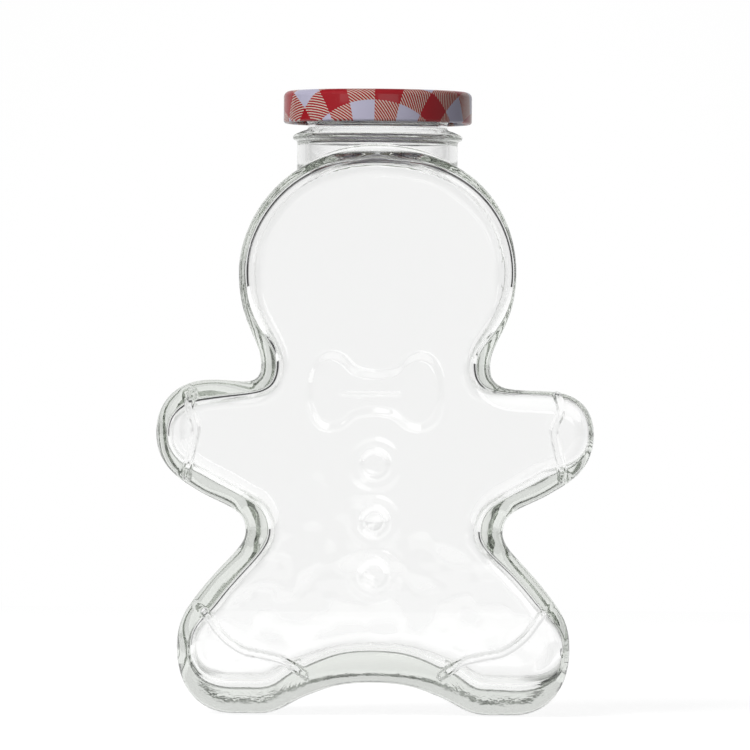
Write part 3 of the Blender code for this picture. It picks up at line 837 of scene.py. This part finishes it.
def clear_glass(settings):
    """Flint container glass, soda-lime: pressed and blown, then fire-polished.

    The eye sees through it unhindered on the flat faces, and grey-green where its edges are thick.
    """
    material = new_material("flint_glass_moulded")
    tree = material.node_tree
    where = add_node(tree, "ShaderNodeTexCoord")
    height = add_node(tree, "ShaderNodeSeparateXYZ", {"Vector": where.outputs["Object"]}).outputs["Z"]
    facing = add_node(tree, "ShaderNodeSeparateXYZ", {"Vector": where.outputs["Normal"]})

    # The mould chills the side walls first: they keep a fine orange peel, strongest round the head
    forward = add_node(tree, MATH, {0: facing.outputs["Y"]}, operation="ABSOLUTE")
    side = add_node(tree, MAP_RANGE, {"Value": forward, "From Min": 0.80, "From Max": 0.45})
    (start, full), (fading, gone) = PEEL_STARTS, PEEL_ENDS
    limits = {"From Min": start, "From Max": full, "To Min": BODY_PEEL, "To Max": settings.peel}
    on_head = add_node(tree, MAP_RANGE, {"Value": height, **limits})
    peel = add_node(tree, MATH, {0: side, 1: on_head}, operation="MULTIPLY")
    limits = {"From Min": fading, "From Max": gone, "To Min": 1.0, "To Max": 0.0}
    below_neck = add_node(tree, MAP_RANGE, {"Value": height, **limits})
    peel = add_node(tree, MATH, {0: peel, 1: below_neck}, operation="MULTIPLY")

    # The bearing surface is stippled in the mould, so that scratches do not start cracks there
    upward = add_node(tree, MATH, {0: facing.outputs["Z"]}, operation="ABSOLUTE")
    under = add_node(tree, MAP_RANGE, {"Value": upward, "From Min": 0.35, "From Max": 0.70})
    start, full = STIPPLE_STARTS
    limits = {"From Min": start, "From Max": full, "To Min": 0.0, "To Max": settings.stipple}
    low_down = add_node(tree, MAP_RANGE, {"Value": height, **limits})
    stipple = add_node(tree, MATH, {0: under, 1: low_down}, operation="MULTIPLY")

    # Peel and stipple share one grain, near the pitch of a stippled bearing surface
    strength = add_node(tree, MATH, {0: peel, 1: stipple}, operation="MAXIMUM")
    spread = {"Vector": where.outputs["Object"], "Scale": 1 / SKIN_GRAIN, "Detail": 1.5}
    grain = add_node(tree, "ShaderNodeTexNoise", spread)
    bump = add_node(
        tree, "ShaderNodeBump", {"Strength": strength, "Distance": SKIN_DEPTH, "Height": grain}
    )
    glass = add_node(
        tree,
        PRINCIPLED,
        {
            "Base Color": (1, 1, 1, 1),
            "Roughness": 0.0,
            "IOR": 1.52,
            "Transmission Weight": 1.0,
            "Normal": bump,
        },
    )
    body = add_node(
        tree, "ShaderNodeVolumeAbsorption", {"Color": (*settings.tint, 1), "Density": settings.absorption}
    )
    add_node(tree, "ShaderNodeOutputMaterial", {"Surface": glass, "Volume": body})
    return material


class JAR_OT_glass(bpy.types.Operator):
    """Build the moulded glass: figure, neck, bead, threads, bow tie, buttons and icing lines"""

    bl_idname = "jar.glass"
    bl_label = "Glass"

    def execute(self, context):
        settings = context.scene.jar_glass
        form = GlassForm(settings)
        grain = settings.grain
        edge = settings.depth / 2
        fine_y = ((-1, 0.013 - edge), (edge - 0.012, 1))
        xs = net_lines(NET_LOW[0], NET_HIGH[0], 1.5 * grain, 0.85 * grain, FINE_X)
        ys = net_lines(NET_LOW[1], NET_HIGH[1], 3.2 * grain, 1.6 * grain, fine_y)
        zs = net_lines(NET_LOW[2], NET_HIGH[2], 1.5 * grain, 0.85 * grain, FINE_Z)
        points, quads = net_over(form, xs, ys, zs)
        for _ in range(3):
            value, way = slope(form, points)
            points -= way * (value / np.maximum(np.sum(way * way, axis=1), 0.25))[:, None]
        _, way = slope(form, points)
        normals = way / np.linalg.norm(way, axis=1)[:, None]
        jar = mesh_from("moulded_glass", points, quads, normals, clear_glass(settings))
        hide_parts("glass_jar")
        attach(jar, "jar")
        return {"FINISHED"}


def finished(bm, name, materials):
    """An object made of the faces, smooth but for edges sharper than 40 degrees."""
    bmesh.ops.recalc_face_normals(bm, faces=bm.faces)
    mesh = bpy.data.meshes.new(name)
    bm.to_mesh(mesh)
    bm.free()
    for material in materials:
        mesh.materials.append(material)
    mesh.shade_smooth()
    mesh.set_sharp_from_angle(angle=math.radians(40))
    made = bpy.data.objects.new(name, mesh)
    bpy.context.collection.objects.link(made)
    return made


def turned(name, section, sides, materials, slots, closed=False):
    """A section, as (radius, height), turned about Z. slots gives the material of each band."""
    bm = bmesh.new()
    turn = [2 * math.pi * i / sides for i in range(sides)]
    rings = []
    for radius, z in section:
        if radius == 0.0:
            rings.append([bm.verts.new((0, 0, z))] * sides)
        else:
            rings.append([bm.verts.new((radius * math.cos(a), radius * math.sin(a), z)) for a in turn])
    bands = list(zip(rings, rings[1:])) + ([(rings[-1], rings[0])] if closed else [])
    for (near, far), slot in zip(bands, slots):
        for i in range(sides):
            j = (i + 1) % sides
            corners = list(dict.fromkeys((near[i], near[j], far[j], far[i])))
            bm.faces.new(corners).material_index = slot
    return finished(bm, name, materials)


def pressed_lugs(name, curl_radius, middle_z, material):
    """Four tongues pressed inward out of the curl, which hook under the threads of the neck."""
    bm = bmesh.new()
    half = LUG_THICKNESS / 2
    for middle in LUG_ANGLES:
        rings = []
        for t in np.linspace(-1, 1, 19):
            turn = math.radians(middle + t * LUG_SWEEP_DEG / 2)
            reach = curl_radius - half - (curl_radius - half - LUG_INNER_RADIUS) * (1 - t**6)
            section = [(curl_radius, middle_z - half)]
            section += arc((reach + half, middle_z), half, 270, 90, 8)
            section += [(curl_radius, middle_z + half)]
            rings.append([bm.verts.new((r * math.cos(turn), r * math.sin(turn), z)) for r, z in section])
        for near, far in zip(rings, rings[1:]):
            for i in range(len(near)):
                j = (i + 1) % len(near)
                bm.faces.new((near[i], near[j], far[j], far[i]))
        bm.faces.new(rings[0])
        bm.faces.new(rings[-1][::-1])
    return finished(bm, name, [material])


def gingham_tinplate(settings):
    """Tinplate, lithographed flat in red gingham and lacquered, then drawn into a cap.

    The inks look matt and even, and the thin lacquer lays a faint soft highlight on the skirt. Squares
    where one bar crosses are half-tones: cream with ruled red lines, seven or eight to a square.
    """
    material = new_material("tinplate_gingham_litho")
    tree = material.node_tree
    where = add_node(tree, "ShaderNodeTexCoord")
    x, y, z = add_node(tree, "ShaderNodeSeparateXYZ", {0: where.outputs["Object"]}).outputs

    # The print was flat before the cap was drawn: a point on the skirt lay further out by its drop
    x_squared = add_node(tree, MATH, {0: x, 1: x}, operation="MULTIPLY")
    y_squared = add_node(tree, MATH, {0: y, 1: y}, operation="MULTIPLY")
    both = add_node(tree, MATH, {0: x_squared, 1: y_squared}, operation="ADD")
    radius = add_node(tree, MATH, {0: both}, operation="SQRT")
    below_top = add_node(tree, MATH, {0: LID_TOP_Z, 1: z}, operation="SUBTRACT")
    drop = add_node(tree, MATH, {0: below_top, 1: DRAW_STRETCH}, operation="MULTIPLY")
    flat_radius = add_node(tree, MATH, {0: radius, 1: drop}, operation="ADD")
    some_radius = add_node(tree, MATH, {0: radius, 1: 1e-6}, operation="MAXIMUM")
    stretch = add_node(tree, MATH, {0: flat_radius, 1: some_radius}, operation="DIVIDE")

    # Bars one square wide and one apart, along both directions of the cloth
    c, s = math.cos(settings.check_turn), math.sin(settings.check_turn)
    squares, bars = [], []
    for a, b, shift in ((c, s, GINGHAM_CORNER[0]), (-s, c, GINGHAM_CORNER[1])):
        from_x = add_node(tree, MATH, {0: x, 1: a}, operation="MULTIPLY")
        from_y = add_node(tree, MATH, {0: y, 1: b}, operation="MULTIPLY")
        drawn = add_node(tree, MATH, {0: from_x, 1: from_y}, operation="ADD")
        flat = add_node(tree, MATH, {0: drawn, 1: stretch}, operation="MULTIPLY")
        shifted = add_node(tree, MATH, {0: flat, 1: shift}, operation="SUBTRACT")
        squares.append(add_node(tree, MATH, {0: shifted, 1: settings.check}, operation="DIVIDE"))
        centred = add_node(tree, MATH, {0: squares[-1], 1: 0.5}, operation="SUBTRACT")
        off_bar = add_node(tree, MATH, {0: centred, 1: 1.0}, operation="PINGPONG")
        bars.append(add_node(tree, MATH, {0: off_bar, 1: 0.5}, operation="LESS_THAN"))

    # Two bars print plain red, one prints ruled lines over cream, and none leaves the pale sheet
    count = add_node(tree, MATH, {0: bars[0], 1: bars[1]}, operation="ADD")
    plain = add_node(tree, MATH, {0: count, 1: 1.5}, operation="GREATER_THAN")
    half_tone = add_node(tree, MATH, {0: count, 1: 1.0, 2: 0.1}, operation="COMPARE")
    diagonal = add_node(tree, MATH, {0: squares[0], 1: squares[1]}, operation="ADD")
    rules = add_node(tree, MATH, {0: diagonal, 1: RULES_PER_CHECK}, operation="MULTIPLY")
    along_rule = add_node(tree, MATH, {0: rules}, operation="FRACT")
    rule = add_node(tree, MATH, {0: along_rule, 1: RULE_SHARE}, operation="GREATER_THAN")
    ruled = add_node(tree, MATH, {0: half_tone, 1: rule}, operation="MULTIPLY")
    inked = add_node(tree, MATH, {0: plain, 1: ruled}, operation="MAXIMUM")
    colours = {"Factor": half_tone, 6: (*settings.pale, 1), 7: (*settings.cream, 1)}
    gaps = add_node(tree, MIX, colours, data_type="RGBA")
    colours = {"Factor": inked, 6: gaps.outputs[2], 7: (*settings.red, 1)}
    print_colour = add_node(tree, MIX, colours, data_type="RGBA")
    shader = add_node(
        tree,
        PRINCIPLED,
        {
            "Base Color": print_colour.outputs[2],
            "Roughness": 0.34,
            "Specular IOR Level": 0.2,
            "Coat Weight": 0.25,
            "Coat Roughness": 0.06,
        },
    )
    add_node(tree, "ShaderNodeOutputMaterial", {"Surface": shader})
    return material


def plain_material(name, colour, roughness):
    """One even colour and gloss."""
    material = new_material(name)
    tree = material.node_tree
    shader = add_node(tree, PRINCIPLED, {"Base Color": (*colour, 1), "Roughness": roughness})
    add_node(tree, "ShaderNodeOutputMaterial", {"Surface": shader})
    return material


class JAR_OT_lid(bpy.types.Operator):
    """Press the tinplate lid: recessed panel, compound channel, skirt, curl and four lugs"""

    bl_idname = "jar.lid"
    bl_label = "Lid"

    def execute(self, context):
        s = context.scene.jar_lid
        top, sheet = LID_TOP_Z, LID_SHEET
        bottom, recess = top - s.height, top - PANEL_RECESS
        corner = (s.radius - LID_CORNER, top - LID_CORNER)
        roll = (s.radius - CURL_RADIUS, bottom + CURL_RADIUS)
        outside = [(0.0, recess), (PANEL_RADIUS - 2 * PANEL_RECESS, recess)]
        for t in np.linspace(0, 1, 7):
            rise = PANEL_RECESS * float(smooth_step(t))
            outside.append((PANEL_RADIUS - PANEL_RECESS + STEP_WIDTH * t, recess + rise))
        outside += arc(corner, LID_CORNER, 90, 0, 10)
        outside += arc(roll, CURL_RADIUS, 0, -280, 24)
        inside = [(s.radius - sheet, bottom + 2.2 * CURL_RADIUS)]
        inside += arc(corner, LID_CORNER - sheet, 0, 90, 8)
        for t in np.linspace(1, 0, 5):
            rise = PANEL_RECESS * float(smooth_step(t))
            inside.append((PANEL_RADIUS - 0.8 * PANEL_RECESS + STEP_WIDTH * t, recess - sheet + rise))
        inside += [(0.0, recess - sheet)]
        section = outside + inside
        slots = [0] * (len(outside) - 1) + [1] * len(inside)
        # Stoved epoxy lacquer inside the cap: greyish, with a soft gloss
        lacquer = plain_material("tinplate_inside_lacquer", linear("#A9A6B4"), 0.3)
        lid = turned("printed_lid", section, s.sides, [gingham_tinplate(s), lacquer], slots)
        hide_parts("lid")
        middle_z = bottom + LUG_MIDDLE_ABOVE_BOTTOM
        lugs = pressed_lugs("pressed_lugs", s.radius - 1.6 * CURL_RADIUS, middle_z, lacquer)
        for piece in (lid, lugs):
            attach(piece, "lid")
        return {"FINISHED"}


class JAR_OT_seal(bpy.types.Operator):
    """Lay the flowed-in sealing ring in the lid's channel"""

    bl_idname = "jar.seal"
    bl_label = "Seal"

    def execute(self, context):
        low, high = SEAL_LOW_Z, SEAL_HIGH_Z
        inner, outer, soft = SEAL_INNER_RADIUS, SEAL_OUTER_RADIUS, SEAL_ROUNDING
        section = [(inner, high), *arc((inner + soft, low + soft), soft, 180, 270, 4)]
        section += [*arc((outer - soft, low + soft), soft, 270, 360, 4), (outer, high)]
        # PVC plastisol, flowed in and stoved: off-white, smooth and nearly matt
        material = plain_material("plastisol_flowed_in", linear("#D8D2C2"), 0.45)
        ring = turned("flowed_seal", section, 160, [material], [0] * len(section), closed=True)
        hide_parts("sealing_ring")
        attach(ring, "seal")
        return {"FINISHED"}


class JAR_OT_stage(bpy.types.Operator):
    """Set the white floor, the surroundings, the lights and the camera"""

    bl_idname = "jar.stage"
    bl_label = "Stage"

    def shown_white(self, tree):
        """1 for what the camera, glass and metal all see alike, 0 for the light on a matt surface."""
        path = add_node(tree, "ShaderNodeLightPath")
        total = path.outputs["Is Camera Ray"]
        for name in ("Is Glossy Ray", "Is Transmission Ray"):
            terms = {0: total, 1: path.outputs[name]}
            total = add_node(tree, MATH, terms, operation="ADD", use_clamp=True).outputs[0]
        return total

    def execute(self, context):
        s = context.scene.jar_stage
        scene = context.scene
        # Opal acrylic sheet, sanded matt and lit from below: evenly white, and it keeps the jar's shadow
        floor_material = new_material("lit_white_acrylic")
        tree = floor_material.node_tree
        glow = add_node(tree, MATH, {0: self.shown_white(tree), 1: FLOOR_GLOW}, operation="MULTIPLY")
        sheet = add_node(
            tree,
            PRINCIPLED,
            {
                "Base Color": (FLOOR_SHADE, FLOOR_SHADE, FLOOR_SHADE, 1),
                "Roughness": 0.9,
                "Specular IOR Level": 0.0,
                "Emission Color": (1, 1, 1, 1),
                "Emission Strength": glow,
            },
        )
        add_node(tree, "ShaderNodeOutputMaterial", {"Surface": sheet})
        mesh = bpy.data.meshes.new("floor")
        h = FLOOR_HALF_SIDE
        mesh.from_pydata([(-h, -h, 0), (h, -h, 0), (h, h, 0), (-h, h, 0)], [], [(0, 1, 2, 3)])
        mesh.materials.append(floor_material)
        floor = bpy.data.objects.new("floor", mesh)
        scene.collection.objects.link(floor)
        floor.location.z = -FLOOR_DROP

        for name, turn, height, reach, width, tall, level, mirrored in LAMPS:
            data = bpy.data.lights.new(name, "AREA")
            data.shape = "RECTANGLE"
            data.size, data.size_y = width, tall
            data.energy = level * math.pi * width * tall
            lamp = bpy.data.objects.new(name, data)
            scene.collection.objects.link(lamp)
            turn, height = math.radians(turn), math.radians(height)
            level_reach = math.cos(height)
            aim = Vector((math.sin(turn) * level_reach, -math.cos(turn) * level_reach, math.sin(height)))
            lamp.location = Vector((0, 0, LAMP_AIM_Z)) + reach * aim
            lamp.rotation_euler = aim.to_track_quat("Z", "Y").to_euler()
            lamp.visible_camera = False
            lamp.visible_glossy = lamp.visible_transmission = mirrored

        world = bpy.data.worlds.new("white_studio")
        scene.world = world
        world.use_nodes = True
        tree = world.node_tree
        tree.nodes.clear()
        coordinates = add_node(tree, "ShaderNodeTexCoord")
        way = add_node(tree, "ShaderNodeSeparateXYZ", {0: coordinates.outputs["Generated"]})
        off_centre = add_node(tree, MATH, {0: way.outputs[1]}, operation="ARCCOSINE")
        share = add_node(tree, MATH, {0: off_centre, 1: math.pi}, operation="DIVIDE")
        room = add_node(tree, "ShaderNodeValToRGB", {0: share})
        for i, (degrees, level) in enumerate(ROOM_LEVELS):
            stop = room.color_ramp.elements[i] if i < 2 else room.color_ramp.elements.new(1.0)
            stop.position = degrees / 180
            stop.color = (level, level, level, 1)
        plain = (PLAIN_LEVEL, PLAIN_LEVEL, PLAIN_LEVEL, 1)
        levels = {0: self.shown_white(tree), 6: plain, 7: room}
        shown = add_node(tree, MIX, levels, data_type="RGBA")
        background = add_node(tree, "ShaderNodeBackground", {"Color": shown.outputs[2], "Strength": 1.0})
        add_node(tree, "ShaderNodeOutputWorld", {"Surface": background})

        camera_data = bpy.data.cameras.new("camera")
        camera_data.lens = s.lens
        camera_data.sensor_width = 36.0
        camera_data.clip_start, camera_data.clip_end = 0.05, 60.0
        camera = bpy.data.objects.new("camera", camera_data)
        scene.collection.objects.link(camera)
        camera.location = (CAMERA_X, -s.distance, CAMERA_Z)
        camera.rotation_euler = (math.radians(90 + CAMERA_PITCH_DEG), math.radians(CAMERA_ROLL_DEG), 0.0)
        scene.camera = camera
        scene.view_settings.view_transform = "Standard"
        scene.cycles.max_bounces = LIGHT_BOUNCES
        scene.cycles.glossy_bounces = LIGHT_BOUNCES
        scene.cycles.transmission_bounces = LIGHT_BOUNCES
        return {"FINISHED"}


class JAR_PT_panel(bpy.types.Panel):
    bl_label = "Gingerbread jar"
    bl_idname = "JAR_PT_panel"
    bl_space_type = "VIEW_3D"
    bl_region_type = "UI"
    bl_category = "Jar"

    def draw(self, context):
        for operator in OPERATORS:
            self.layout.operator(operator.bl_idname)


OPERATORS = (JAR_OT_glass, JAR_OT_lid, JAR_OT_seal, JAR_OT_stage)
CLASSES = (JarGlassSettings, JarLidSettings, JarStageSettings, *OPERATORS, JAR_PT_panel)


def register():
    for cls in CLASSES:
        bpy.utils.register_class(cls)
    bpy.types.Scene.jar_glass = PointerProperty(type=JarGlassSettings)
    bpy.types.Scene.jar_lid = PointerProperty(type=JarLidSettings)
    bpy.types.Scene.jar_stage = PointerProperty(type=JarStageSettings)


def unregister():
    for name in ("jar_stage", "jar_lid", "jar_glass"):
        delattr(bpy.types.Scene, name)
    for cls in reversed(CLASSES):
        bpy.utils.unregister_class(cls)


def main():
    register()
    bpy.ops.jar.glass()
    bpy.ops.jar.lid()
    bpy.ops.jar.seal()
    bpy.ops.jar.stage()


if __name__ == "__main__":
    main()
